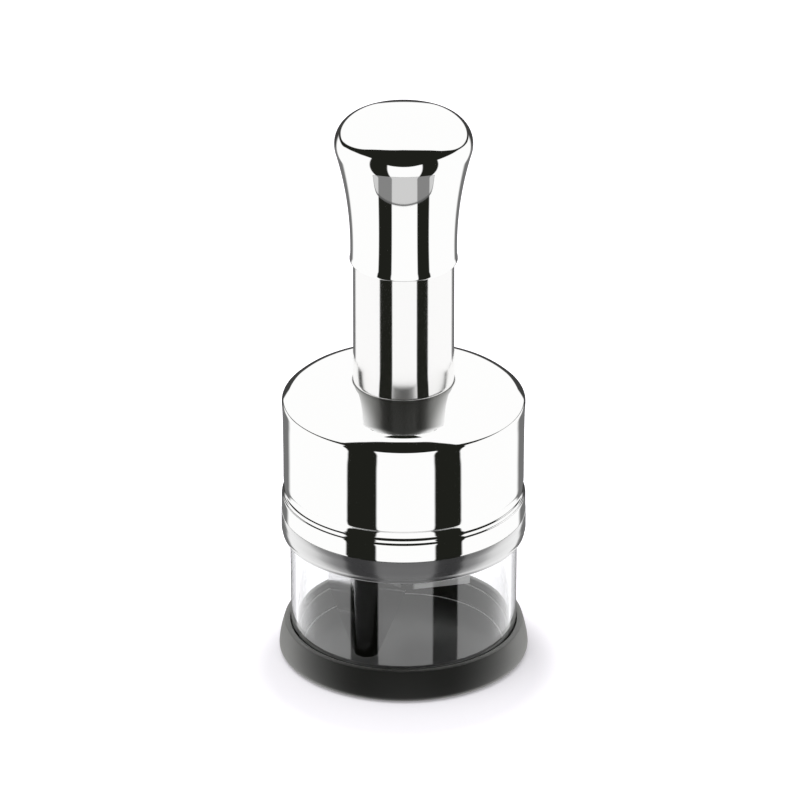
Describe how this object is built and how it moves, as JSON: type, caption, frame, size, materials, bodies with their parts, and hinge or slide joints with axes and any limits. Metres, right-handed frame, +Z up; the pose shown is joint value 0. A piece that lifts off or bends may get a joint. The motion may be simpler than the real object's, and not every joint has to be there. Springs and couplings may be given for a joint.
{
  "type": "plunger food chopper",
  "caption": "Hand-pressed food chopper: polished knob on a steel tube, domed steel housing, zigzag blade in a clear cup on a flared black base.",
  "frame": {"origin": "on the table, at the axis of the chopper, under its foot pad", "axes": "+Z up along the axis, -Y towards the viewer of the picture, +X to the viewer's right"},
  "size_m": [0.1006, 0.1006, 0.2361],
  "materials": {
    "polished_steel": "mirror polished",
    "satin_tube": "satin, brushed round the tube",
    "blade_steel": "ground and polished",
    "plain_steel": "plain",
    "black_base": "fine matt",
    "black_core": "moulded",
    "grey_board": "satin with fine turned lines",
    "grey_ring": "satin",
    "clear_cup": "clear and glossy",
    "white_plastic": "moulded",
    "black_rubber": "matt",
    "clear_silicone": "soft"
  },
  "bodies": {
    "base": {"base_cap": "black_base", "foot_pad": "black_rubber", "board": "grey_board"},
    "cup_body": {"cup": "clear_cup"},
    "housing": {"housing_liner": "grey_ring", "gasket": "clear_silicone", "housing_shell": "polished_steel", "guide_tube": "satin_tube", "index_bush": "white_plastic", "bush_screws": "plain_steel", "tube_cap": "white_plastic", "spring_seat": "plain_steel", "return_spring": "plain_steel"},
    "guard": {"food_guard": "white_plastic"},
    "knob": {"knob_shell": "polished_steel", "knob_core": "black_core", "swivel_plate": "plain_steel", "swivel_screws": "plain_steel", "thrust_washer": "plain_steel"},
    "plunger": {"plunger_rod": "plain_steel", "rod_clip": "plain_steel", "cross_pin": "plain_steel", "blade_carrier": "white_plastic", "carrier_pin": "plain_steel", "zigzag_blade": "blade_steel", "bumper": "black_rubber"}
  },
  "joints": [
    {"name": "cup_lift", "type": "slide", "parent": "base", "child": "cup_body", "axis": [0, 0, 1], "range_m": [0, 0.02]},
    {"name": "housing_lift", "type": "slide", "parent": "cup_body", "child": "housing", "axis": [0, 0, 1], "range_m": [0, 0.06]},
    {"name": "guard_turn", "type": "hinge", "parent": "housing", "child": "guard", "pos_m": [0, 0, 0.062], "axis": [0, 0, 1], "range_deg": [0, 30]},
    {"name": "knob_press", "type": "slide", "parent": "housing", "child": "knob", "axis": [0, 0, -1], "range_m": [0, 0.0115], "stiffness_N_per_m": 500, "springref_m": -0.02, "deforming": ["return_spring"]},
    {"name": "blade_turn", "type": "hinge", "parent": "knob", "child": "plunger", "pos_m": [0, 0, 0.1], "axis": [0, 0, 1], "range_deg": [0, 30]}
  ],
  "couplings": [
    {"joint": "blade_turn", "follows": "knob_press", "rad_per_m": 45.5},
    {"joint": "guard_turn", "follows": "knob_press", "rad_per_m": 45.5}
  ]
}
